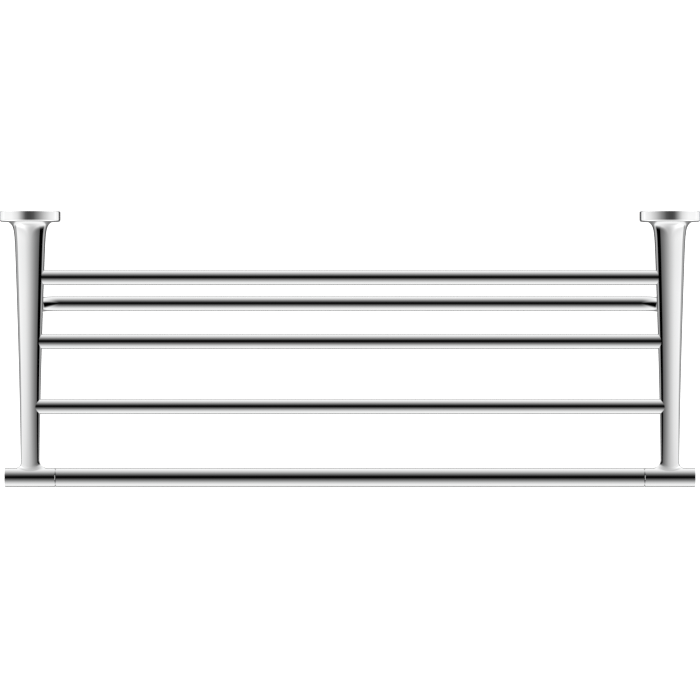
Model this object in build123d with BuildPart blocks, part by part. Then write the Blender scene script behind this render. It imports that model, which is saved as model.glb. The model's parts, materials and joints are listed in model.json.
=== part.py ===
from build123d import *
from math import cos, radians, sin, tan
import os

# Wall-mounted chrome towel shelf with a towel rail under it, in millimetres.
# The wall is the plane Y = 0 and the shelf reaches out towards -Y. X = 0 is midway
# between the two arms and Z = 0 is the height of the arms' axes.

# ---- driving dimensions -------------------------------------------------------------
SIDES = {"left": -1, "right": 1}
MOUNT_CENTRES = 600.0           # from one arm's axis to the other
REACH = 249.5                   # wall to the axis of the front rail
RAIL_RADIUS = 9.0               # front rail and the arms' cross heads
BAR_RADIUS = 7.0                # shelf bars and lower towel rail
BAR_DISTANCES = {"rear": 62.0, "middle": 122.0, "front": 183.0}
LOWER_RAIL_DISTANCE = 85.8      # wall to the axis of the lower rail
LOWER_RAIL_DROP = 65.0          # below the arms' axes
LOWER_RAIL_LEAN = 7.0           # degrees, the hangers lean forward as they rise
LOWER_RAIL_BEND = 25.0          # centre-line radius of its two bends
FIT = 0.05                      # clearance round a seated piece

# Rosette, the round cup that covers the wall bracket
ROSETTE_RADIUS = 28.5
ROSETTE_DEPTH = 9.8
ROSETTE_FRONT = 2.5             # thickness of its front wall
ROSETTE_RIM = 2.2               # thickness of its rim
ROSETTE_FRONT_ROUND = 1.8
ROSETTE_BACK_ROUND = 1.0

# Wall bracket, a disc with a groove round its edge and two countersunk holes
BRACKET_RADIUS = 26.1
BRACKET_DEPTH = 6.5
BRACKET_BORE = 7.0              # clears the head of the arm screw
GROOVE_DISTANCE = 3.4           # wall to the middle of the groove
GROOVE_BOTTOM = 24.0
GROOVE_HALF_WIDTHS = (0.6, 2.3)  # at the bottom and at the rim
WALL_HOLE_SPACING = 32.0
WALL_HOLE_RADIUS = 2.75
WALL_HOLE_HEAD = 5.2

# Arm: a trumpet foot on the rosette, a taper that grows flatter, and a cross head in front
ARM_FOOT_RADIUS = 20.8
FOOT_CURVE = ((13.6, 15.2), (15.0, 14.75))  # controls of the trumpet: distance from wall, radius
ARM_TAPER_START = 46.0          # from the wall to the end of the trumpet
ARM_HALF_WIDTHS = (13.65, 11.2, 9.3, 8.6)   # evenly spaced controls, up to the head's axis
ARM_HALF_HEIGHTS = (13.65, 11.2, 9.3, 4.6)
ARM_SPANS = 4                   # stretches of the taper between its sections
HEAD_INNER = 276.2              # X of the joint between cross head and front rail
HEAD_OUTER = 323.6              # X of the cross head's free end
HEAD_FILLET = 6.5
SEAM_CHAMFER = 0.3
SEAM_GAP = 0.15

# Fasteners
ARM_SCREW_RADIUS = 2.95
ARM_SCREW_LENGTH = 22.0
ARM_SCREW_HEAD = (5.0, 6.0)     # radius, height
ARM_SCREW_SOCKET = (2.9, 3.0)   # hexagon radius, depth
GRUB_RADIUS = 2.0
GRUB_LENGTH = 4.0
GRUB_POINT = (0.4, 2.0)         # radius of the tip, length of the cone
GRUB_SOCKET = (1.15, 1.8)       # hexagon radius, depth

# Ends of the bars
BAR_WALL = 1.0
BAR_END = 4.0                   # from the arm's axis back to the tube's end
SPIGOT_RADIUS = 4.0
SPIGOT_PAST_AXIS = 4.4
PLUG_LENGTH = 20.0
BAR_GRUB_OFFSET = 0.5           # beyond the arm's axis

# Joint of the front rail
RAIL_WALL = 1.5
RAIL_SPIGOT_RADIUS = 4.5
RAIL_SPIGOT_REACH = 14.8        # into the cross head
RAIL_GRUB_OFFSET = 7.8          # from the seam

# ---- values that follow from them ---------------------------------------------------
ARM_X = MOUNT_CENTRES / 2
TUBE_END = ARM_X - BAR_END
SPIGOT_END = ARM_X + SPIGOT_PAST_AXIS
LEAN = radians(LOWER_RAIL_LEAN)
HANGER_LENGTH = LOWER_RAIL_DROP / cos(LEAN)
HANGER_DISTANCE = LOWER_RAIL_DISTANCE + LOWER_RAIL_DROP * tan(LEAN)
TAPPED_RADIUS = GRUB_RADIUS + FIT


def wall_plane(x, distance):
    """Parallel to the wall and facing out from it, distance in front of it."""
    return Plane(origin=(x, -distance, 0), x_dir=(1, 0, 0), z_dir=(0, -1, 0))


def cross_plane(side, x, distance, z=0.0):
    """Square to the bars at x, facing the side that the arm is on."""
    return Plane(origin=(side * x, -distance, z), x_dir=(0, 1, 0), z_dir=(side, 0, 0))


def turning_plane(side):
    """For half sections: X is the radius, on the outer side, and Y runs back to the wall."""
    return Plane(origin=(side * ARM_X, 0, 0), x_dir=(side, 0, 0), z_dir=(0, 0, side))


def under_plane(x, distance, z):
    """Horizontal and facing up, for what enters from below."""
    return Plane(origin=(x, -distance, z), x_dir=(1, 0, 0), z_dir=(0, 0, 1))


def hanger_plane(side, from_axis):
    """Square to the lower rail's hanger, from_axis short of the arm's axis."""
    rise = (HANGER_LENGTH - from_axis) * cos(LEAN) - LOWER_RAIL_DROP
    advance = (HANGER_LENGTH - from_axis) * sin(LEAN) + LOWER_RAIL_DISTANCE
    return Plane(
        origin=(side * ARM_X, -advance, rise),
        x_dir=(1, 0, 0),
        z_dir=(0, -sin(LEAN), cos(LEAN)),
    )


def disc(plane, radius):
    """A round profile on a plane."""
    with BuildSketch(plane) as profile:
        Circle(radius)
    return profile.sketch


def drill(plane, radius, depth):
    """Cut a flat-bottomed round hole along the plane's normal."""
    extrude(disc(plane, radius), amount=depth, mode=Mode.SUBTRACT)


def rod(plane, radius, length):
    """Add a round rod along the plane's normal."""
    extrude(disc(plane, radius), amount=length)


def hexagon_socket(plane, radius, depth):
    """Cut a hexagon socket along the plane's normal."""
    with BuildSketch(plane) as profile:
        RegularPolygon(radius, side_count=6)
    extrude(profile.sketch, amount=depth, mode=Mode.SUBTRACT)


def trumpet_outline(side):
    """Half section of the arm's round foot."""
    foot = (ARM_FOOT_RADIUS, -ROSETTE_DEPTH)
    neck = (ARM_HALF_WIDTHS[0], -ARM_TAPER_START)
    controls = [(radius, -distance) for distance, radius in FOOT_CURVE]
    with BuildSketch(turning_plane(side)) as outline:
        with BuildLine():
            Bezier(foot, *controls, neck)
            Polyline(neck, (0, -ARM_TAPER_START), (0, -ROSETTE_DEPTH), foot)
        make_face()
    return outline.sketch


def along_taper(controls, share):
    """Value at a share of the taper of a cubic Bezier curve with evenly spaced controls."""
    start, second, third, end = controls
    rest = 1 - share
    return start * rest**3 + 3 * second * rest**2 * share + 3 * third * rest * share**2 + end * share**3


def taper_section(side, share):
    """The arm's elliptical section at a share of the taper."""
    distance = ARM_TAPER_START + (REACH - ARM_TAPER_START) * share
    plane = Plane(origin=(side * ARM_X, -distance, 0), x_dir=(side, 0, 0), z_dir=(0, -1, 0))
    with BuildSketch(plane) as section:
        Ellipse(along_taper(ARM_HALF_WIDTHS, share), along_taper(ARM_HALF_HEIGHTS, share))
    return section.sketch


def drill_shaft(side):
    """Cut the holes of the arm's foot and shaft: for the arm screw, the bars and the hanger."""
    drill(wall_plane(side * ARM_X, ROSETTE_DEPTH), ARM_SCREW_RADIUS + FIT, ARM_SCREW_LENGTH)
    inside = -side
    grub_x = side * (ARM_X + BAR_GRUB_OFFSET)
    for distance in BAR_DISTANCES.values():
        drill(cross_plane(inside, -TUBE_END, distance), BAR_RADIUS + FIT, ARM_X)
        drill(cross_plane(side, TUBE_END, distance), SPIGOT_RADIUS + FIT, SPIGOT_END - TUBE_END)
        drill(under_plane(grub_x, distance, -ARM_FOOT_RADIUS), TAPPED_RADIUS, ARM_FOOT_RADIUS)
    hanger_end = hanger_plane(side, BAR_END)
    drill(-hanger_end, BAR_RADIUS + FIT, ARM_FOOT_RADIUS)
    drill(hanger_end, SPIGOT_RADIUS + FIT, BAR_END + SPIGOT_PAST_AXIS)
    drill(cross_plane(side, ARM_X - ARM_FOOT_RADIUS, HANGER_DISTANCE), TAPPED_RADIUS, ARM_FOOT_RADIUS)


def drill_head(side):
    """Cut the cross head's holes, for the front rail's spigot and its grub screw."""
    drill(cross_plane(side, HEAD_INNER, REACH), RAIL_SPIGOT_RADIUS + FIT, RAIL_SPIGOT_REACH)
    grub_x = side * (HEAD_INNER + RAIL_GRUB_OFFSET)
    drill(under_plane(grub_x, REACH, -2 * RAIL_RADIUS), TAPPED_RADIUS, 2 * RAIL_RADIUS)


def grub_screw(plane):
    """Add a cone-point grub screw whose tip lies on the plane and points along its normal."""
    tip_radius, cone_length = GRUB_POINT
    back = plane.offset(-GRUB_LENGTH)
    rod(back, GRUB_RADIUS, GRUB_LENGTH - cone_length)
    loft([disc(plane.offset(-cone_length), GRUB_RADIUS), disc(plane, tip_radius)])
    hexagon_socket(back, *GRUB_SOCKET)


def end_plug(plane):
    """Add a turned plug: a body inside the tube behind the plane, a spigot in front of it."""
    rod(plane.offset(-PLUG_LENGTH), BAR_RADIUS - BAR_WALL - FIT, PLUG_LENGTH)
    rod(plane, SPIGOT_RADIUS, BAR_END + SPIGOT_PAST_AXIS - FIT)


def rosette_outline(side):
    """Half section of the cup, rounded at the two edges of its rim."""
    bore = ARM_SCREW_RADIUS + 2 * FIT
    inner = ROSETTE_RADIUS - ROSETTE_RIM
    with BuildSketch(turning_plane(side)) as outline:
        with BuildLine():
            Polyline(
                (inner, 0),
                (ROSETTE_RADIUS, 0),
                (ROSETTE_RADIUS, -ROSETTE_DEPTH),
                (bore, -ROSETTE_DEPTH),
                (bore, ROSETTE_FRONT - ROSETTE_DEPTH),
                (inner, ROSETTE_FRONT - ROSETTE_DEPTH),
                close=True,
            )
        make_face()
        rim = outline.vertices().group_by(Axis.X)[-1].sort_by(Axis.Y)
        fillet(rim[0], radius=ROSETTE_FRONT_ROUND)
        fillet(rim[-1], radius=ROSETTE_BACK_ROUND)
    return outline.sketch


def bracket_outline(side):
    """Half section of the wall bracket, with the groove round its edge."""
    bottom_width, rim_width = GROOVE_HALF_WIDTHS
    with BuildSketch(turning_plane(side)) as outline:
        with BuildLine():
            Polyline(
                (BRACKET_BORE, 0),
                (BRACKET_RADIUS, 0),
                (BRACKET_RADIUS, rim_width - GROOVE_DISTANCE),
                (GROOVE_BOTTOM, bottom_width - GROOVE_DISTANCE),
                (GROOVE_BOTTOM, -bottom_width - GROOVE_DISTANCE),
                (BRACKET_RADIUS, -rim_width - GROOVE_DISTANCE),
                (BRACKET_RADIUS, -BRACKET_DEPTH),
                (BRACKET_BORE, -BRACKET_DEPTH),
                close=True,
            )
        make_face()
    return outline.sketch


def tube_section(plane, outer, inner):
    """A ring on a plane."""
    with BuildSketch(plane) as ring:
        Circle(outer)
        Circle(inner, mode=Mode.SUBTRACT)
    return ring.sketch


def lower_rail_path():
    """Centre line of the lower rail: up one hanger, along the rail and up the other."""
    hanging = Plane(
        origin=(0, -LOWER_RAIL_DISTANCE, -LOWER_RAIL_DROP),
        x_dir=(1, 0, 0),
        z_dir=(0, -cos(LEAN), -sin(LEAN)),
    )
    top = HANGER_LENGTH - BAR_END - FIT
    with BuildLine(hanging) as path:
        FilletPolyline((-ARM_X, top), (-ARM_X, 0), (ARM_X, 0), (ARM_X, top), radius=LOWER_RAIL_BEND)
    return path.wire()


os.makedirs("parts", exist_ok=True)

# ---- the two arms and what holds each one to the wall --------------------------------
for side_name, side in SIDES.items():
    axis = Axis((side * ARM_X, 0, 0), (0, 1, 0))

    # Cast arm: turned foot and flattening taper, with the cross head filleted onto it
    with BuildPart() as arm:
        revolve(trumpet_outline(side), axis=axis)
        loft([taper_section(side, span / ARM_SPANS) for span in range(ARM_SPANS + 1)])
        drill_shaft(side)
        rod(cross_plane(side, HEAD_INNER, REACH), RAIL_RADIUS, HEAD_OUTER - HEAD_INNER)
        junction = arm.edges(Select.LAST).filter_by(GeomType.BSPLINE)
        fillet(junction.sort_by(SortBy.LENGTH)[:2], radius=HEAD_FILLET)
        head_rims = arm.edges().filter_by(GeomType.CIRCLE).sort_by(Axis.X)
        chamfer(head_rims[0 if side > 0 else -1], length=SEAM_CHAMFER)
        drill_head(side)
    arm.part.label = f"{side_name}_arm"
    export_step(arm.part, f"parts/{side_name}_arm.step")

    # Turned rosette cup between the arm's foot and the wall
    with BuildPart() as rosette:
        revolve(rosette_outline(side), axis=axis)
        below_rim = under_plane(side * ARM_X, GROOVE_DISTANCE, -2 * ROSETTE_RADIUS)
        drill(below_rim, TAPPED_RADIUS, 2 * ROSETTE_RADIUS)
    rosette.part.label = f"{side_name}_rosette"
    export_step(rosette.part, f"parts/{side_name}_rosette.step")

    # Bracket disc that is screwed to the wall through its two countersunk holes
    with BuildPart() as bracket:
        revolve(bracket_outline(side), axis=axis)
        with Locations(wall_plane(side * ARM_X, BRACKET_DEPTH)):
            with GridLocations(0, WALL_HOLE_SPACING, 1, 2):
                CounterSinkHole(WALL_HOLE_RADIUS, WALL_HOLE_HEAD)
    bracket.part.label = f"{side_name}_wall_bracket"
    export_step(bracket.part, f"parts/{side_name}_wall_bracket.step")

    # Cap screw from inside the rosette into the arm's foot
    with BuildPart() as arm_screw:
        head_radius, head_height = ARM_SCREW_HEAD
        under_head = wall_plane(side * ARM_X, ROSETTE_DEPTH - ROSETTE_FRONT)
        rod(under_head.offset(-head_height), head_radius, head_height)
        rod(under_head, ARM_SCREW_RADIUS, ARM_SCREW_LENGTH)
        hexagon_socket(under_head.offset(-head_height), *ARM_SCREW_SOCKET)
    arm_screw.part.label = f"{side_name}_arm_screw"
    export_step(arm_screw.part, f"parts/{side_name}_arm_screw.step")

    # Grub screw under the rosette, its point in the bracket's groove
    with BuildPart() as rosette_grub:
        grub_screw(under_plane(side * ARM_X, GROOVE_DISTANCE, -GROOVE_BOTTOM - 4 * FIT))
    rosette_grub.part.label = f"{side_name}_rosette_grub_screw"
    export_step(rosette_grub.part, f"parts/{side_name}_rosette_grub_screw.step")

    # Spigot that joins the front rail to the cross head
    with BuildPart() as rail_spigot:
        seam = cross_plane(side, HEAD_INNER - SEAM_GAP, REACH)
        rod(seam.offset(-PLUG_LENGTH), RAIL_RADIUS - RAIL_WALL - FIT, PLUG_LENGTH)
        rod(seam, RAIL_SPIGOT_RADIUS, RAIL_SPIGOT_REACH)
    rail_spigot.part.label = f"{side_name}_rail_spigot"
    export_step(rail_spigot.part, f"parts/{side_name}_rail_spigot.step")

    # Grub screw under the cross head that clamps the spigot
    with BuildPart() as rail_grub:
        spigot_underside = -RAIL_SPIGOT_RADIUS - FIT
        grub_screw(under_plane(side * (HEAD_INNER + RAIL_GRUB_OFFSET), REACH, spigot_underside))
    rail_grub.part.label = f"{side_name}_rail_grub_screw"
    export_step(rail_grub.part, f"parts/{side_name}_rail_grub_screw.step")

    # Four grub screws in the arm: three from below for the bars, one for the hanger
    with BuildPart() as bar_grubs:
        for distance in BAR_DISTANCES.values():
            grub_screw(under_plane(side * (ARM_X + BAR_GRUB_OFFSET), distance, -SPIGOT_RADIUS - FIT))
        grub_screw(cross_plane(side, ARM_X - SPIGOT_RADIUS - FIT, HANGER_DISTANCE))
    bar_grubs.part.label = f"{side_name}_arm_grub_screws"
    export_step(bar_grubs.part, f"parts/{side_name}_arm_grub_screws.step")

    # Plug in the top of the lower rail's hanger
    with BuildPart() as hanger_plug:
        end_plug(hanger_plane(side, BAR_END + FIT))
    hanger_plug.part.label = f"lower_rail_{side_name}_plug"
    export_step(hanger_plug.part, f"parts/lower_rail_{side_name}_plug.step")

# ---- the shelf bars and the plugs in their ends ---------------------------------------
for bar_name, distance in BAR_DISTANCES.items():
    bar_end = TUBE_END - FIT
    with BuildPart() as bar:
        extrude(
            tube_section(cross_plane(1, -bar_end, distance), BAR_RADIUS, BAR_RADIUS - BAR_WALL),
            amount=2 * bar_end,
        )
    bar.part.label = f"{bar_name}_shelf_bar"
    export_step(bar.part, f"parts/{bar_name}_shelf_bar.step")

    for side_name, side in SIDES.items():
        with BuildPart() as bar_plug:
            end_plug(cross_plane(side, bar_end, distance))
        bar_plug.part.label = f"{bar_name}_bar_{side_name}_plug"
        export_step(bar_plug.part, f"parts/{bar_name}_bar_{side_name}_plug.step")

# ---- front rail between the two cross heads --------------------------------------------
with BuildPart() as front_rail:
    rail_end = HEAD_INNER - SEAM_GAP
    extrude(
        tube_section(cross_plane(1, -rail_end, REACH), RAIL_RADIUS, RAIL_RADIUS - RAIL_WALL),
        amount=2 * rail_end,
    )
    outer_rims = front_rail.edges().filter_by(GeomType.CIRCLE).group_by(SortBy.RADIUS)[-1]
    chamfer(outer_rims, length=SEAM_CHAMFER)
front_rail.part.label = "front_rail"
export_step(front_rail.part, "parts/front_rail.step")

# ---- lower towel rail, one tube bent into a wide U -------------------------------------
with BuildPart() as lower_rail:
    rail_path = lower_rail_path()
    rail_section = tube_section(Plane(rail_path ^ 0), BAR_RADIUS, BAR_RADIUS - BAR_WALL)
    sweep(rail_section, path=rail_path)
lower_rail.part.label = "lower_towel_rail"
export_step(lower_rail.part, "parts/lower_towel_rail.step")
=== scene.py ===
import json
from math import atan2, cos, degrees, hypot, pi, radians, sin, tan

import bmesh
import bpy
from mathutils import Matrix, Vector


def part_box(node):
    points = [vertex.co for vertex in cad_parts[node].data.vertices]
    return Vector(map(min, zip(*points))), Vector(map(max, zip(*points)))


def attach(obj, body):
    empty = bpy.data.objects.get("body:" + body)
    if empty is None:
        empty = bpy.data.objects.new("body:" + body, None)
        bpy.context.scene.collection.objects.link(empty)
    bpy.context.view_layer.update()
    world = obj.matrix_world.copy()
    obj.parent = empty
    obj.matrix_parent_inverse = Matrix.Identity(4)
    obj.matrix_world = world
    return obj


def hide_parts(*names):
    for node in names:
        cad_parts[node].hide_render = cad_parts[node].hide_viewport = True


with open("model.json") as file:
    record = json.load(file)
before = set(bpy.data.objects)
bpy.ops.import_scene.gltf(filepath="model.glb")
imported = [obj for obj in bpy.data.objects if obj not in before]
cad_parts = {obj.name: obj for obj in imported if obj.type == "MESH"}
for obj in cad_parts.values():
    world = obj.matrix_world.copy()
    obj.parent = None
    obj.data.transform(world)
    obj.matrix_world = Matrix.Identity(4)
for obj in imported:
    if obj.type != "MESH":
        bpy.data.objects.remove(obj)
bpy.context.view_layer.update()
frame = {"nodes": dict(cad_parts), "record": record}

# Looks of a wall-mounted chrome towel shelf, in metres. The wall is the plane Y = 0, the
# shelf reaches out towards -Y, and the arms' axes are at Z = 0.

MM = 0.001
SIDES = {"left": -1, "right": 1}

# ---- places and sizes read from the frame ------------------------------------------------


def centre(node):
    """Middle of a CAD node's box."""
    low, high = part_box(node)
    return (low + high) / 2


def size(node):
    """Edge lengths of a CAD node's box."""
    low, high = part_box(node)
    return high - low


ARM_X = centre("right_rosette").x
ROSETTE_RADIUS = size("right_rosette").x / 2
ROSETTE_DEPTH = size("right_rosette").y
REACH = -centre("front_rail").y
RAIL_RADIUS = size("front_rail").z / 2
RAIL_END = size("front_rail").x / 2
HEAD_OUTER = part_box("right_arm")[1].x - ARM_X
HEAD_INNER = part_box("right_arm")[0].x - ARM_X
ARM_FOOT_RADIUS = size("right_arm").z / 2
BAR_RADIUS = size("middle_shelf_bar").z / 2
BARS = ("rear_shelf_bar", "middle_shelf_bar", "front_shelf_bar")
LOWER_RAIL_DISTANCE = -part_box("lower_towel_rail")[1].y + BAR_RADIUS
LOWER_RAIL_DROP = -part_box("lower_towel_rail")[0].z - BAR_RADIUS

# ---- the design's own sizes that a box can't give -----------------------------------------
FOOT_CURVE = ((13.6 * MM, 15.2 * MM), (15.0 * MM, 14.75 * MM))  # distance from wall, radius
ARM_TAPER_START = 46.0 * MM     # from the wall to the end of the trumpet
ARM_HALF_WIDTHS = (13.65 * MM, 11.2 * MM, 9.3 * MM, 8.6 * MM)   # evenly spaced Bezier controls
ARM_HALF_HEIGHTS = (13.65 * MM, 11.2 * MM, 9.3 * MM, 4.6 * MM)
HEAD_FILLET_OUTER = 5.0 * MM
HEAD_FILLET_INNER = 7.5 * MM
HEAD_END_ROUND = 0.6 * MM
SEAM_CHAMFER = 0.45 * MM
ROSETTE_FRONT = 2.5 * MM
ROSETTE_RIM = 2.2 * MM
ROSETTE_FRONT_ROUND = 1.8 * MM
ROSETTE_BACK_ROUND = 1.0 * MM
ROSETTE_BORE = 3.05 * MM
RAIL_SPIGOT_BORE = 4.55 * MM
RAIL_SPIGOT_REACH = 14.8 * MM
BAR_WALL = 1.0 * MM
RAIL_WALL = 1.5 * MM
LOWER_RAIL_LEAN = radians(7.0)
HANGER_RISE = Vector((0, -sin(LOWER_RAIL_LEAN), cos(LOWER_RAIL_LEAN)))
LOWER_RAIL_BEND = 25.0 * MM
BAR_SOCKET = 7.05 * MM
SPIGOT_BORE = 4.05 * MM
ARM_SCREW_BORE = 3.0 * MM
ARM_SCREW_DEPTH = 22.0 * MM
BAR_END = 4.0 * MM              # from the arm's axis back to the tube's end
SPIGOT_PAST_AXIS = 4.4 * MM
GRUB_BORE = 2.05 * MM
GRUB_HOLE_FLOOR = 4.0 * MM      # how near to a piece's axis a grub screw's hole goes
HOLE_START = 1.5                # a hole from outside begins this many radii from the axis
FIT = 0.05 * MM                 # clearance round a seated piece
FILLET_SKIRT = 0.9              # the fillet's edge is drawn in to this share, inside the head

# ---- fineness of the meshes ---------------------------------------------------------------
ROUND = 160                     # steps round a turned piece
ARC_STEPS = 14                  # steps in a small rounded edge
CURVE_STEPS = 44                # steps along a long outline curve
TAPER_STEPS = 72                # steps along an arm's taper
SHAFT_ROUND = 240               # steps round an arm's shaft
FILLET_STEPS = 28               # steps across the cross head's fillet
HOLE_ROUND = 96                 # steps round a hole
HALVINGS = 40                   # of the stretch in which a fillet's start is looked for
SHARP_EDGE = radians(30)        # faces that meet at more than this keep a sharp edge
WELD = 1e-7


# ---- mesh tools ------------------------------------------------------------------------------


def finish_mesh(name, bm):
    """Turn a bmesh into a smooth-shaded object whose true edges stay sharp."""
    bmesh.ops.remove_doubles(bm, verts=bm.verts, dist=WELD)
    bmesh.ops.recalc_face_normals(bm, faces=bm.faces)
    mesh = bpy.data.meshes.new(name)
    bm.to_mesh(mesh)
    bm.free()
    for polygon in mesh.polygons:
        polygon.use_smooth = True
    mesh.set_sharp_from_angle(angle=SHARP_EDGE)
    made = bpy.data.objects.new(name, mesh)
    bpy.context.scene.collection.objects.link(made)
    return made


def bridge(bm, first, second):
    """Faces between two rings of vertices, either of which may be a single vertex."""
    count = max(len(first), len(second))
    for i in range(count):
        j = (i + 1) % count
        corners = [first[i % len(first)], first[j % len(first)]]
        corners += [second[j % len(second)], second[i % len(second)]]
        unique = list(dict.fromkeys(corners))
        if len(unique) > 2:
            bm.faces.new(unique)


def turns_round(steps):
    """Evenly spaced angles once round."""
    return [2 * pi * i / steps for i in range(steps)]


def turned(name, outline, origin, axis, closed=True):
    """Solid of revolution: outline holds (distance along the axis, radius) pairs."""
    bm = bmesh.new()
    along = Vector(axis).normalized()
    across = along.orthogonal().normalized()
    third = along.cross(across)
    rings = []
    for distance, radius in outline:
        middle = Vector(origin) + along * distance
        if radius == 0:
            rings.append([bm.verts.new(middle)])
            continue
        spokes = [across * cos(turn) + third * sin(turn) for turn in turns_round(ROUND)]
        rings.append([bm.verts.new(middle + spoke * radius) for spoke in spokes])
    for first, second in zip(rings, rings[1:]):
        bridge(bm, first, second)
    if closed:
        bridge(bm, rings[-1], rings[0])
    return finish_mesh(name, bm)


def bezier(points, steps):
    """Points on a cubic Bezier curve with four control points."""
    made = []
    for i in range(steps + 1):
        t = i / steps
        weights = ((1 - t) ** 3, 3 * t * (1 - t) ** 2, 3 * t * t * (1 - t), t ** 3)
        made.append(tuple(sum(w * p[k] for w, p in zip(weights, points)) for k in (0, 1)))
    return made


def arc(middle, radius, start, end):
    """Points on an arc, from and to angles in degrees."""
    turns = [radians(start + (end - start) * i / ARC_STEPS) for i in range(ARC_STEPS + 1)]
    return [(middle[0] + radius * cos(t), middle[1] + radius * sin(t)) for t in turns]


# ---- the arms --------------------------------------------------------------------------------


def arm_point(side, outward, distance, height):
    """A point given from the arm's own axis: outward from it, out from the wall, and up."""
    return Vector((side * (ARM_X + outward), -distance, height))


def along_taper(controls, share):
    """Value and slope, per unit of share, of a cubic Bezier curve with evenly spaced controls."""
    start, second, third, end = controls
    rest = 1 - share
    value = start * rest**3 + 3 * second * rest**2 * share
    value += 3 * third * rest * share**2 + end * share**3
    slope = (second - start) * rest**2 + 2 * (third - second) * rest * share
    slope += (end - third) * share**2
    return value, 3 * slope


def taper_spot(distance, turn):
    """Point of the elliptical taper and its outward normal, as outward, distance, height."""
    length = REACH - ARM_TAPER_START
    share = (distance - ARM_TAPER_START) / length
    width, width_slope = along_taper(ARM_HALF_WIDTHS, share)
    height, height_slope = along_taper(ARM_HALF_HEIGHTS, share)
    across, up = cos(turn), sin(turn)
    lean = (height * width_slope * across**2 + width * height_slope * up**2) / length
    spot = Vector((width * across, distance, height * up))
    return spot, Vector((height * across, -lean, width * up)).normalized()


class HeadFillet:
    """The fillet between shaft and cross head, as a ball that rolls round the shaft."""

    def __init__(self, turn):
        mean = (HEAD_FILLET_OUTER + HEAD_FILLET_INNER) / 2
        self.radius = mean + (HEAD_FILLET_OUTER - mean) * cos(turn)
        near, far = REACH - 3 * RAIL_RADIUS, REACH
        for _ in range(HALVINGS):
            self.start = (near + far) / 2
            spot, normal = taper_spot(self.start, turn)
            self.ball = spot + normal * self.radius
            if hypot(REACH - self.ball.y, self.ball.z) > RAIL_RADIUS + self.radius:
                near = self.start
            else:
                far = self.start
        self.to_shaft = -normal
        self.to_head = Vector((0, REACH - self.ball.y, -self.ball.z)).normalized()

    def point(self, share):
        """Outward, distance from the wall and height; share runs from shaft to cross head."""
        return self.ball + self.to_shaft.slerp(self.to_head, share) * self.radius


def make_shaft(side_name, side):
    """The trumpet foot, the flattening taper and the fillet, closed inside the cross head."""
    bm = bmesh.new()
    turns = turns_round(SHAFT_ROUND)
    fillets = [HeadFillet(turn) for turn in turns]
    outlines = [[(0, ROSETTE_DEPTH, 0)]]
    foot, neck = (ROSETTE_DEPTH, ARM_FOOT_RADIUS), (ARM_TAPER_START, ARM_HALF_WIDTHS[0])
    for distance, radius in bezier((foot, *FOOT_CURVE, neck), CURVE_STEPS):
        outlines.append([(radius * cos(turn), distance, radius * sin(turn)) for turn in turns])
    for step in range(1, TAPER_STEPS):
        share = step / TAPER_STEPS
        ends = [ARM_TAPER_START + (fillet.start - ARM_TAPER_START) * share for fillet in fillets]
        outlines.append([taper_spot(end, turn)[0] for end, turn in zip(ends, turns)])
    for step in range(FILLET_STEPS + 1):
        share = (1 - cos(pi * step / FILLET_STEPS)) / 2
        outlines.append([fillet.point(share) for fillet in fillets])
    middle = Vector((0, REACH, 0))
    outlines.append([middle + FILLET_SKIRT * (spot - middle) for spot in outlines[-1]])
    outlines.append([middle])
    rings = [[bm.verts.new(arm_point(side, *spot)) for spot in outline] for outline in outlines]
    for first, second in zip(rings, rings[1:]):
        bridge(bm, first, second)
    return finish_mesh(f"{side_name}_arm_shaft", bm)


def make_head(side_name, side):
    """The cross head: its free end has a rounded edge, the joint face a chamfer and a bore."""
    round_middle = (HEAD_OUTER - HEAD_END_ROUND, RAIL_RADIUS - HEAD_END_ROUND)
    outline = [
        (HEAD_INNER + RAIL_SPIGOT_REACH, 0),
        (HEAD_INNER + RAIL_SPIGOT_REACH, RAIL_SPIGOT_BORE),
        (HEAD_INNER, RAIL_SPIGOT_BORE),
        (HEAD_INNER, RAIL_RADIUS - SEAM_CHAMFER),
        (HEAD_INNER + SEAM_CHAMFER, RAIL_RADIUS),
        *arc(round_middle, HEAD_END_ROUND, 90, 0),
        (HEAD_OUTER, 0),
    ]
    axis = (side, 0, 0)
    return turned(f"{side_name}_arm_head", outline, arm_point(side, 0, REACH, 0), axis, closed=False)


def cut_holes(piece, holes):
    """Cut round holes out of a piece, each given by its start, end and radius."""
    bm = bmesh.new()
    for start, end, radius in holes:
        axis = end - start
        turn = axis.to_track_quat("Z", "Y").to_matrix().to_4x4()
        place = Matrix.Translation((start + end) / 2) @ turn
        bmesh.ops.create_cone(
            bm, cap_ends=True, segments=HOLE_ROUND, radius1=radius, radius2=radius, depth=axis.length,
            matrix=place,
        )
    cutter = finish_mesh(f"{piece.name}_cutter", bm)
    boolean = piece.modifiers.new("holes", "BOOLEAN")
    boolean.operation = "DIFFERENCE"
    boolean.solver = "EXACT"
    boolean.use_self = True
    boolean.object = cutter
    evaluated = piece.evaluated_get(bpy.context.evaluated_depsgraph_get())
    result = bpy.data.meshes.new_from_object(evaluated)
    piece.modifiers.clear()
    piece.data = result
    result.set_sharp_from_angle(angle=SHARP_EDGE)
    bpy.data.objects.remove(cutter)


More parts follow.
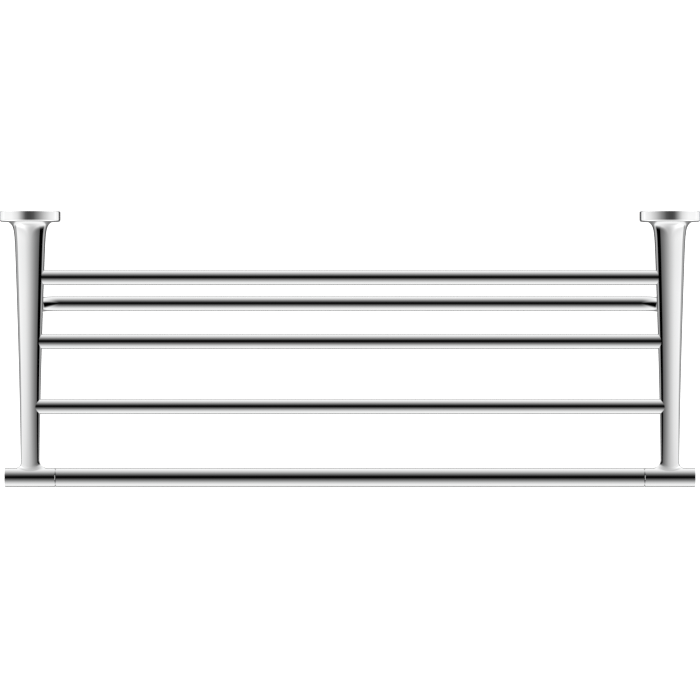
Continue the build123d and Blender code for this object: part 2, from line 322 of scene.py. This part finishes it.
def shaft_holes(side_name, side):
    """Holes of the foot and shaft: for the arm screw, the bars, the hanger and the grub screws."""
    below = -HOLE_START * ARM_FOOT_RADIUS
    screws_low, screws_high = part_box(f"{side_name}_arm_grub_screws")
    grub_x = (screws_high.x if side > 0 else screws_low.x) - side * (GRUB_BORE - FIT)
    foot = arm_point(side, 0, ROSETTE_DEPTH, 0)
    holes = [(foot + Vector((0, MM, 0)), foot - Vector((0, ARM_SCREW_DEPTH, 0)), ARM_SCREW_BORE)]
    for bar in BARS:
        distance = -centre(bar).y
        tube_end = arm_point(side, -BAR_END, distance, 0)
        spigot_end = arm_point(side, SPIGOT_PAST_AXIS, distance, 0)
        grub_start = Vector((grub_x, -distance, below))
        grub_end = Vector((grub_x, -distance, -GRUB_HOLE_FLOOR))
        holes.append((arm_point(side, below, distance, 0), tube_end, BAR_SOCKET))
        holes.append((tube_end + Vector((-side * MM, 0, 0)), spigot_end, SPIGOT_BORE))
        holes.append((grub_start, grub_end, GRUB_BORE))
    hanger = LOWER_RAIL_DISTANCE + LOWER_RAIL_DROP * tan(LOWER_RAIL_LEAN)
    top = arm_point(side, 0, hanger, 0)
    grub_start = arm_point(side, below, hanger, 0)
    grub_end = arm_point(side, -GRUB_HOLE_FLOOR, hanger, 0)
    holes.append((top + HANGER_RISE * below, top - HANGER_RISE * BAR_END, BAR_SOCKET))
    spigot_start = top - HANGER_RISE * (BAR_END + MM)
    holes.append((spigot_start, top + HANGER_RISE * SPIGOT_PAST_AXIS, SPIGOT_BORE))
    holes.append((grub_start, grub_end, GRUB_BORE))
    return holes


def head_holes(side_name):
    """The hole of the grub screw under a cross head."""
    screw = centre(f"{side_name}_rail_grub_screw")
    start = Vector((screw.x, screw.y, -HOLE_START * RAIL_RADIUS))
    return [(start, Vector((screw.x, screw.y, -GRUB_HOLE_FLOOR)), GRUB_BORE)]


# ---- the other chrome pieces -------------------------------------------------------------------


def make_rosette(side_name, side):
    """The turned cup against the wall, with its grub screw's hole underneath."""
    inner = ROSETTE_RADIUS - ROSETTE_RIM
    front_round = arc(
        (ROSETTE_DEPTH - ROSETTE_FRONT_ROUND, ROSETTE_RADIUS - ROSETTE_FRONT_ROUND),
        ROSETTE_FRONT_ROUND, 90, 0,
    )
    back_round = arc(
        (ROSETTE_BACK_ROUND, ROSETTE_RADIUS - ROSETTE_BACK_ROUND), ROSETTE_BACK_ROUND, 180, 90,
    )
    outline = [
        (0, inner),
        *back_round,
        *front_round,
        (ROSETTE_DEPTH, ROSETTE_BORE),
        (ROSETTE_DEPTH - ROSETTE_FRONT, ROSETTE_BORE),
        (ROSETTE_DEPTH - ROSETTE_FRONT, inner),
    ]
    made = turned(f"{side_name}_rosette_cup", outline, (side * ARM_X, 0, 0), (0, -1, 0))
    hole_y = centre(f"{side_name}_rosette_grub_screw").y
    below = Vector((side * ARM_X, hole_y, -2 * ROSETTE_RADIUS))
    cut_holes(made, [(below, Vector((side * ARM_X, hole_y, MM - inner)), GRUB_BORE)])
    return made


def make_bar(node):
    """A straight tube between the arms, where its CAD node is."""
    half = size(node).x / 2
    bore = BAR_RADIUS - BAR_WALL
    outline = [(-half, bore), (-half, BAR_RADIUS), (half, BAR_RADIUS), (half, bore)]
    return turned(f"{node}_tube", outline, centre(node), (1, 0, 0))


def make_front_rail():
    """The front rail's tube, with a chamfer at each seam."""
    bore = RAIL_RADIUS - RAIL_WALL
    outline = [
        (-RAIL_END, bore),
        (-RAIL_END, RAIL_RADIUS - SEAM_CHAMFER),
        (SEAM_CHAMFER - RAIL_END, RAIL_RADIUS),
        (RAIL_END - SEAM_CHAMFER, RAIL_RADIUS),
        (RAIL_END, RAIL_RADIUS - SEAM_CHAMFER),
        (RAIL_END, bore),
    ]
    return turned("front_rail_tube", outline, centre("front_rail"), (1, 0, 0))


def lower_rail_line():
    """Centre line of the lower rail in its own leaning plane, as (x, height) with headings."""
    hanger = LOWER_RAIL_DROP / cos(LOWER_RAIL_LEAN) - BAR_END - FIT
    line = [((-ARM_X, hanger), -90.0)]
    bend_steps = 2 * ARC_STEPS
    for i in range(bend_steps + 1):
        heading = -90.0 + 90.0 * i / bend_steps
        turn = radians(180 + 90.0 * i / bend_steps)
        x = -ARM_X + LOWER_RAIL_BEND + LOWER_RAIL_BEND * cos(turn)
        line.append(((x, LOWER_RAIL_BEND + LOWER_RAIL_BEND * sin(turn)), heading))
    mirrored = [((-x, height), -heading) for (x, height), heading in reversed(line)]
    return line + mirrored


def make_lower_rail():
    """The lower rail: one tube bent into a wide U, leaning forward as it rises."""
    bm = bmesh.new()
    origin = Vector((0, -LOWER_RAIL_DISTANCE, -LOWER_RAIL_DROP))
    sideways = Vector((1, 0, 0))
    flat = sideways.cross(HANGER_RISE)
    shells = []
    for radius in (BAR_RADIUS, BAR_RADIUS - BAR_WALL):
        rings = []
        for (x, height), heading in lower_rail_line():
            spot = origin + sideways * x + HANGER_RISE * height
            inward = HANGER_RISE * cos(radians(heading)) - sideways * sin(radians(heading))
            spokes = [inward * cos(turn) + flat * sin(turn) for turn in turns_round(ROUND)]
            rings.append([bm.verts.new(spot + spoke * radius) for spoke in spokes])
        for first, second in zip(rings, rings[1:]):
            bridge(bm, first, second)
        shells.append(rings)
    outer, inner = shells
    bridge(bm, outer[0], inner[0])
    bridge(bm, outer[-1], inner[-1])
    return finish_mesh("lower_towel_rail_tube", bm)


# ---- materials ---------------------------------------------------------------------------------
NOISE_RANGE = (0.3, 0.7)        # what most of a noise keeps within
HAZE_SCALE = 55.0               # this and the other scales are per metre
PLATING_SCALE = 12.0
WAVE_SCALE = 30.0
TOOL_MARK_SCALE = 2600.0
BLOTCH_SCALE = 180.0
GRAIN_SCALE = 1400.0
CHROME_ROUGHNESS = (0.008, 0.020)
SCREW_ROUGHNESS = (0.28, 0.42)
ROUGHNESS_SWING = 0.06          # how far tool marks push the roughness either way


def mix_colours(tree, factor, first, second):
    """Colour between two others, each an RGB colour or an output; returns the output."""
    made = tree.nodes.new("ShaderNodeMix")
    made.data_type = "RGBA"
    entries = [entry for entry in made.inputs if entry.type == "RGBA"]
    for entry, colour in zip(entries, (first, second)):
        if isinstance(colour, tuple):
            entry.default_value = (*colour, 1)
        else:
            tree.links.new(colour, entry)
    tree.links.new(factor, made.inputs[0])
    return next(entry for entry in made.outputs if entry.type == "RGBA")


def maths(tree, operation, first, second=None):
    """A sum on one or two values, each a number or an output; returns the output."""
    made = tree.nodes.new("ShaderNodeMath")
    made.operation = operation
    for entry, value in zip(made.inputs, (first, second)):
        if isinstance(value, (int, float)):
            entry.default_value = value
        elif value is not None:
            tree.links.new(value, entry)
    return made.outputs[0]


class Shader:
    """A material's node tree with a short way to add nodes and wire them."""

    def __init__(self, name):
        self.material = bpy.data.materials.new(name)
        self.material.use_nodes = True
        self.tree = self.material.node_tree
        self.surface = self.tree.nodes["Principled BSDF"]

    def node(self, kind):
        """Add a node."""
        return self.tree.nodes.new(kind)

    def wire(self, source, output, target, entry):
        """Link an output to an input, both by name or number."""
        self.tree.links.new(source.outputs[output], target.inputs[entry])

    def object_coordinates(self, stretch=(1, 1, 1)):
        """Object coordinates in metres, scaled per axis."""
        coordinates = self.node("ShaderNodeTexCoord")
        mapping = self.node("ShaderNodeMapping")
        mapping.inputs["Scale"].default_value = stretch
        self.wire(coordinates, "Object", mapping, "Vector")
        return mapping

    def noise(self, coordinates, scale, detail, roughness=0.5):
        """Noise at a scale per metre."""
        made = self.node("ShaderNodeTexNoise")
        made.inputs["Scale"].default_value = scale
        made.inputs["Detail"].default_value = detail
        made.inputs["Roughness"].default_value = roughness
        self.wire(coordinates, "Vector", made, "Vector")
        return made

    def spread(self, source, output, low, high):
        """Map the usual range of a noise to low to high."""
        made = self.node("ShaderNodeMapRange")
        made.inputs["From Min"].default_value, made.inputs["From Max"].default_value = NOISE_RANGE
        made.inputs["To Min"].default_value = low
        made.inputs["To Max"].default_value = high
        self.wire(source, output, made, "Value")
        return made

    def tint(self, source, output, dark, light):
        """Mix two colours by a value, into the base colour."""
        mixed = mix_colours(self.tree, source.outputs[output], dark, light)
        self.tree.links.new(mixed, self.surface.inputs["Base Color"])

    def bump(self, source, output, strength, depth):
        """Bump of a depth in metres, into the surface's normal."""
        made = self.node("ShaderNodeBump")
        made.inputs["Strength"].default_value = strength
        made.inputs["Distance"].default_value = depth
        self.wire(source, output, made, "Height")
        self.wire(made, "Normal", self.surface, "Normal")


def chrome(name, waviness, stretch):
    """Mirror chrome: a faint haze that comes and goes, and the slight waves of polishing."""
    shader = Shader(name)
    shader.surface.inputs["Metallic"].default_value = 1.0
    place = shader.object_coordinates(stretch)
    haze = shader.noise(place, HAZE_SCALE, detail=4.0)
    rough = shader.spread(haze, "Fac", *CHROME_ROUGHNESS)
    shader.wire(rough, "Result", shader.surface, "Roughness")
    plating = shader.noise(place, PLATING_SCALE, detail=1.0)
    shader.tint(plating, "Fac", (0.925, 0.93, 0.935), (0.945, 0.945, 0.945))
    waves = shader.noise(place, WAVE_SCALE, detail=1.0)
    shader.bump(waves, "Fac", 0.2, waviness)
    return shader.material


def turned_metal(name, dark, light, roughness):
    """Machined metal with fine tool marks round the nearer arm's axis."""
    shader = Shader(name)
    shader.surface.inputs["Metallic"].default_value = 1.0
    coordinates = shader.node("ShaderNodeTexCoord")
    parts = shader.node("ShaderNodeSeparateXYZ")
    shader.wire(coordinates, "Object", parts, 0)
    sideways = maths(shader.tree, "ABSOLUTE", parts.outputs["X"])
    flat = shader.node("ShaderNodeCombineXYZ")
    shader.tree.links.new(maths(shader.tree, "SUBTRACT", sideways, ARM_X), flat.inputs["X"])
    shader.wire(parts, "Z", flat, "Z")
    away = shader.node("ShaderNodeVectorMath")
    away.operation = "LENGTH"
    shader.wire(flat, 0, away, 0)
    line = shader.node("ShaderNodeCombineXYZ")
    shader.wire(away, "Value", line, "X")
    marks = shader.noise(line, TOOL_MARK_SCALE, detail=3.0, roughness=0.6)
    shader.bump(marks, "Fac", 0.5, 0.02 * MM)
    blotches = shader.noise(shader.object_coordinates(), BLOTCH_SCALE, detail=4.0)
    shader.tint(blotches, "Fac", dark, light)
    low, high = roughness - ROUGHNESS_SWING, roughness + ROUGHNESS_SWING
    rough = shader.spread(marks, "Fac", low, high)
    shader.wire(rough, "Result", shader.surface, "Roughness")
    return shader.material


def screw_steel():
    """Blackened stainless screws with a fine grain."""
    shader = Shader("screw_steel_grain")
    shader.surface.inputs["Metallic"].default_value = 1.0
    place = shader.object_coordinates()
    grain = shader.noise(place, GRAIN_SCALE, detail=3.0)
    shader.tint(grain, "Fac", (0.20, 0.205, 0.215), (0.34, 0.345, 0.355))
    rough = shader.spread(grain, "Fac", *SCREW_ROUGHNESS)
    shader.wire(rough, "Result", shader.surface, "Roughness")
    shader.bump(grain, "Fac", 0.3, 0.01 * MM)
    return shader.material


def dress(piece, material):
    """Give a piece one material."""
    piece.data.materials.clear()
    piece.data.materials.append(material)


def place_piece(piece, material, slot, *nodes):
    """Dress a new piece and let it stand for its CAD nodes."""
    dress(piece, material)
    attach(piece, "root")
    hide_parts(*nodes)
    piece.visible_glossy = False    # the chrome mirrors the studio and not its neighbours
    return piece


# ---- build -------------------------------------------------------------------------------------
cast_chrome = chrome("chrome_cast", 0.012 * MM, (1, 1, 1))
tube_chrome = chrome("chrome_tube", 0.006 * MM, (0.15, 1, 1))
FINISHES = {
    "bracket_steel": turned_metal(
        "bracket_steel_turned", (0.42, 0.43, 0.44), (0.60, 0.61, 0.62), 0.32,
    ),
    "plug_brass": turned_metal(
        "plug_brass_turned", (0.55, 0.40, 0.17), (0.74, 0.57, 0.29), 0.28,
    ),
    "screw_steel": screw_steel(),
}

shafts = {}
rosettes = {}
crosswise = []
for side_name, side in SIDES.items():
    shaft = make_shaft(side_name, side)
    cut_holes(shaft, shaft_holes(side_name, side))
    shafts[side_name] = place_piece(shaft, cast_chrome, "chrome", f"{side_name}_arm")
    head = make_head(side_name, side)
    cut_holes(head, head_holes(side_name))
    crosswise.append(place_piece(head, cast_chrome, "chrome", f"{side_name}_arm"))
    rosette = make_rosette(side_name, side)
    rosettes[side_name] = place_piece(rosette, cast_chrome, "chrome", f"{side_name}_rosette")
for bar in BARS:
    crosswise.append(place_piece(make_bar(bar), tube_chrome, "chrome", bar))
crosswise.append(place_piece(make_front_rail(), tube_chrome, "chrome", "front_rail"))
place_piece(make_lower_rail(), tube_chrome, "chrome", "lower_towel_rail")

for subpart in frame["record"]["subparts"]:
    if subpart["material_slot"] in FINISHES:
        inside = frame["nodes"][subpart["node"]]
        dress(inside, FINISHES[subpart["material_slot"]])
        inside.visible_glossy = False   # the chrome doesn't mirror these either

# ---- camera --------------------------------------------------------------------------------------
CAMERA_HEIGHT = 4.5
VIEW_WIDTH = 0.6565             # what the picture's width spans at the arms' height
VIEW_DISTANCE = 0.130           # from the wall to the middle of the picture
CLIP_END = 100.0                # past the floor's corners
camera_data = bpy.data.cameras.new("camera")
camera_data.lens = camera_data.sensor_width * CAMERA_HEIGHT / VIEW_WIDTH
camera_data.clip_end = CLIP_END
camera = bpy.data.objects.new("camera", camera_data)
camera.location = (0, -VIEW_DISTANCE, CAMERA_HEIGHT)
bpy.context.scene.collection.objects.link(camera)
bpy.context.scene.camera = camera
bpy.context.scene.view_settings.view_transform = "Standard"

# ---- studio --------------------------------------------------------------------------------------
FLOOR_DROP = 1.2
FLOOR_SIZE = 80.0
FLOOR_GREY = 0.9
FLOOR_ROUGHNESS = 0.9
FLOOR_GLOW = 1.2
DARK_SPOT_TILT = radians(5.5)   # the darkest part of the ceiling is a little towards the wall
# Brightness of the studio by the angle from the dark spot, in degrees: a dark ceiling that
# turns into white walls in front and behind, and a grey ground
WALLS_FRONT_AND_BACK = (
    (0, 0.0), (6, 0.0), (12, 0.012), (18, 0.036), (30, 0.122), (43, 0.26), (56, 0.44),
    (70, 0.64), (85, 0.80), (103, 0.95), (115, 1.0), (128, 0.95), (136, 0.35), (150, 0.20),
    (180, 0.20),
)
# The side walls are dark down to a little below the horizon and grey under that; here the
# angle is from straight up
WALLS_AT_THE_SIDES = ((0, 0.0), (112, 0.0), (116, 0.45), (132, 0.45), (140, 0.10), (180, 0.10))
# Where the side walls begin and where they are complete, as X squared over X and Y squared
SIDE_BLEND = (0.50, 0.93)
LEAST = 1e-6                    # keeps a division from failing straight up and down


def wall_light(tree, angle, stops):
    """Brightness by an angle in radians, between stops in degrees."""
    ramp = tree.nodes.new("ShaderNodeValToRGB")
    tree.links.new(maths(tree, "DIVIDE", angle, pi), ramp.inputs["Fac"])
    points = ramp.color_ramp.elements
    while len(points) < len(stops):
        points.new(0.5)
    for point, (place, brightness) in zip(points, stops):
        point.position = place / 180
        point.color = (brightness, brightness, brightness, 1)
    return ramp.outputs["Color"]


def make_studio():
    """World light: the walls and ceiling that the chrome mirrors; the camera sees plain white."""
    world = bpy.data.worlds.new("studio")
    bpy.context.scene.world = world
    world.use_nodes = True
    tree = world.node_tree
    background = tree.nodes["Background"]
    direction = tree.nodes.new("ShaderNodeTexCoord")
    parts = tree.nodes.new("ShaderNodeSeparateXYZ")
    tree.links.new(direction.outputs["Generated"], parts.inputs[0])
    x, y, z = (parts.outputs[axis] for axis in "XYZ")

    upward = maths(tree, "MULTIPLY", z, cos(DARK_SPOT_TILT))
    back = maths(tree, "MULTIPLY", y, sin(DARK_SPOT_TILT))
    from_dark_spot = maths(tree, "ARCCOSINE", maths(tree, "ADD", upward, back))
    front = wall_light(tree, from_dark_spot, WALLS_FRONT_AND_BACK)
    sides = wall_light(tree, maths(tree, "ARCCOSINE", z), WALLS_AT_THE_SIDES)
    x_squared = maths(tree, "MULTIPLY", x, x)
    y_squared = maths(tree, "MULTIPLY", y, y)
    level_squared = maths(tree, "ADD", maths(tree, "ADD", x_squared, y_squared), LEAST)
    sideways = tree.nodes.new("ShaderNodeMapRange")
    sideways.interpolation_type = "SMOOTHSTEP"
    sideways.inputs["From Min"].default_value = SIDE_BLEND[0]
    sideways.inputs["From Max"].default_value = SIDE_BLEND[1]
    tree.links.new(maths(tree, "DIVIDE", x_squared, level_squared), sideways.inputs["Value"])
    mirrored = mix_colours(tree, sideways.outputs["Result"], front, sides)

    rays = tree.nodes.new("ShaderNodeLightPath")
    shown = mix_colours(tree, rays.outputs["Is Camera Ray"], mirrored, (1, 1, 1))
    tree.links.new(shown, background.inputs["Color"])


def make_floor():
    """A plain white floor, far enough down that no shadow reads on it."""
    bm = bmesh.new()
    bmesh.ops.create_grid(bm, x_segments=1, y_segments=1, size=FLOOR_SIZE / 2)
    floor = finish_mesh("floor", bm)
    floor.location = (0, 0, -FLOOR_DROP)
    shader = Shader("floor_white")
    shader.surface.inputs["Base Color"].default_value = (FLOOR_GREY, FLOOR_GREY, FLOOR_GREY, 1)
    shader.surface.inputs["Roughness"].default_value = FLOOR_ROUGHNESS
    shader.surface.inputs["Emission Color"].default_value = (1, 1, 1, 1)
    shader.surface.inputs["Emission Strength"].default_value = FLOOR_GLOW
    dress(floor, shader.material)
    floor.visible_glossy = False


PANEL_REACH = 1.0               # from an arm's axis to the light panels round it
PANEL_LENGTH = 4.2              # the panels of an arch fade out towards both ends
SIDE_PANEL_WIDTH = 1.0
SIDE_PANEL_DISTANCE = 2.0
SIDE_PANEL_BRIGHTNESS = 0.55
# What an arm's shaft and a rosette see round the arm's axis: brightness by the angle from
# straight up, in degrees, outwards positive
ROUND_THE_SHAFT = (
    (-79, 0.135), (-71, 0.145), (-52, 0.227), (-34, 0.345), (-17, 0.48), (0, 0.63),
    (17, 0.77), (34, 0.88), (52, 0.92), (82, 0.97), (101, 1.0), (109, 0.0),
)
ROUND_THE_ROSETTE = (
    (-145, 0.97), (-114, 1.0), (-85, 0.84), (-61, 0.58), (-40, 0.29), (-20, 0.095),
    (-9, 0.065), (2, 0.065), (10, 0.10), (18, 0.24), (25, 0.40), (33, 0.61), (41, 0.79),
    (54, 0.91), (67, 1.0), (146, 1.0),
)


def level(stops, angle):
    """Brightness between the stops of a list, at an angle."""
    for (start, low), (end, high) in zip(stops, stops[1:]):
        if start <= angle <= end:
            return low + (high - low) * (angle - start) / (end - start)
    return 0.0


def panel_stops(wanted):
    """What the panels add to the side walls for the wanted brightness, at every stop of both.

    The camera looks down between the arms, so what they mirror is tilted outwards.
    """
    tilt = degrees(atan2(ARM_X, CAMERA_HEIGHT))
    wanted = [(angle + tilt, brightness) for angle, brightness in wanted]
    walls = [(-angle, brightness) for angle, brightness in reversed(WALLS_AT_THE_SIDES)]
    walls += WALLS_AT_THE_SIDES[1:]
    first, last = wanted[0][0], wanted[-1][0]
    angles = {angle for angle, _ in wanted}
    angles |= {angle for angle, _ in walls if first < angle < last}
    return [
        (angle, max(0.0, level(wanted, angle) - level(walls, angle))) for angle in sorted(angles)
    ]


def group(name, pieces):
    """A collection of the pieces that some lamps light.

    Cycles tells only 64 such collections apart, so the lamps of a group share one.
    """
    made = bpy.data.collections.new(name)
    for piece in pieces:
        made.objects.link(piece)
    return made


def add_lamp(data, place, receivers):
    """Hang a lamp that only a collection of pieces sees."""
    lamp = bpy.data.objects.new(data.name, data)
    lamp.matrix_world = place
    lamp.visible_camera = False
    lamp.light_linking.receiver_collection = receivers
    bpy.context.scene.collection.objects.link(lamp)


def panel(name, width):
    """An area lamp's data, with the energy at which its surface has a brightness of one."""
    data = bpy.data.lights.new(name, "AREA")
    data.shape = "RECTANGLE"
    data.size = width
    data.size_y = PANEL_LENGTH
    data.energy = pi * width * PANEL_LENGTH
    return data


def panel_place(middle, across, away):
    """Where a panel goes whose width runs along across and whose back faces away."""
    turn = Matrix((across, away.cross(across), away)).transposed().to_4x4()
    return Matrix.Translation(middle) @ turn


def side_panel(side, receivers):
    """A panel above the horizon at one end of the pieces that lie crosswise."""
    data = panel(f"side_panel_{side}", SIDE_PANEL_WIDTH)
    data.energy *= SIDE_PANEL_BRIGHTNESS
    middle = Vector((side * SIDE_PANEL_DISTANCE, -REACH / 2, SIDE_PANEL_WIDTH / 2))
    add_lamp(data, panel_place(middle, Vector((0, 0, 1)), Vector((side, 0, 0))), receivers)


def shade_panel(data, low, high):
    """Let a panel's brightness run from low to high across it, and fade out at both ends."""
    data.use_nodes = True
    tree = data.node_tree
    emission = next(node for node in tree.nodes if node.type == "EMISSION")
    place = tree.nodes.new("ShaderNodeNewGeometry")
    parts = tree.nodes.new("ShaderNodeSeparateXYZ")
    tree.links.new(place.outputs["Parametric"], parts.inputs[0])
    across = tree.nodes.new("ShaderNodeMapRange")
    across.inputs["To Min"].default_value = low
    across.inputs["To Max"].default_value = high
    tree.links.new(parts.outputs["X"], across.inputs["Value"])
    along = maths(tree, "MULTIPLY", maths(tree, "PINGPONG", parts.outputs["Y"], 0.5), 2.0)
    strength = maths(tree, "MULTIPLY", across.outputs["Result"], along)
    tree.links.new(strength, emission.inputs["Strength"])


def light_arch(name, side, distance, wanted, receivers):
    """Flat panels set round an arm's axis, which light only the given pieces."""
    middle = Vector((side * ARM_X, -distance, 0))
    edges = []
    for angle, brightness in panel_stops(wanted):
        outward = Vector((side * sin(radians(angle)), 0, cos(radians(angle))))
        edges.append((middle + outward * PANEL_REACH, brightness))
    for number, ((first, low), (second, high)) in enumerate(zip(edges, edges[1:])):
        span = second - first
        centre_line = (first + second) / 2
        data = panel(f"{name}_{number}", span.length)
        shade_panel(data, low, high)
        away = (centre_line - middle).normalized()
        add_lamp(data, panel_place(centre_line, span.normalized(), away), receivers)


make_studio()
make_floor()
lit_crosswise = group("crosswise_lit", crosswise)
for side_name, side in SIDES.items():
    lit_shaft = group(f"{side_name}_shaft_lit", [shafts[side_name]])
    lit_rosette = group(f"{side_name}_rosette_lit", [rosettes[side_name]])
    light_arch(f"{side_name}_shaft_light", side, REACH / 2, ROUND_THE_SHAFT, lit_shaft)
    light_arch(f"{side_name}_rosette_light", side, 0, ROUND_THE_ROSETTE, lit_rosette)
    side_panel(side, lit_crosswise)
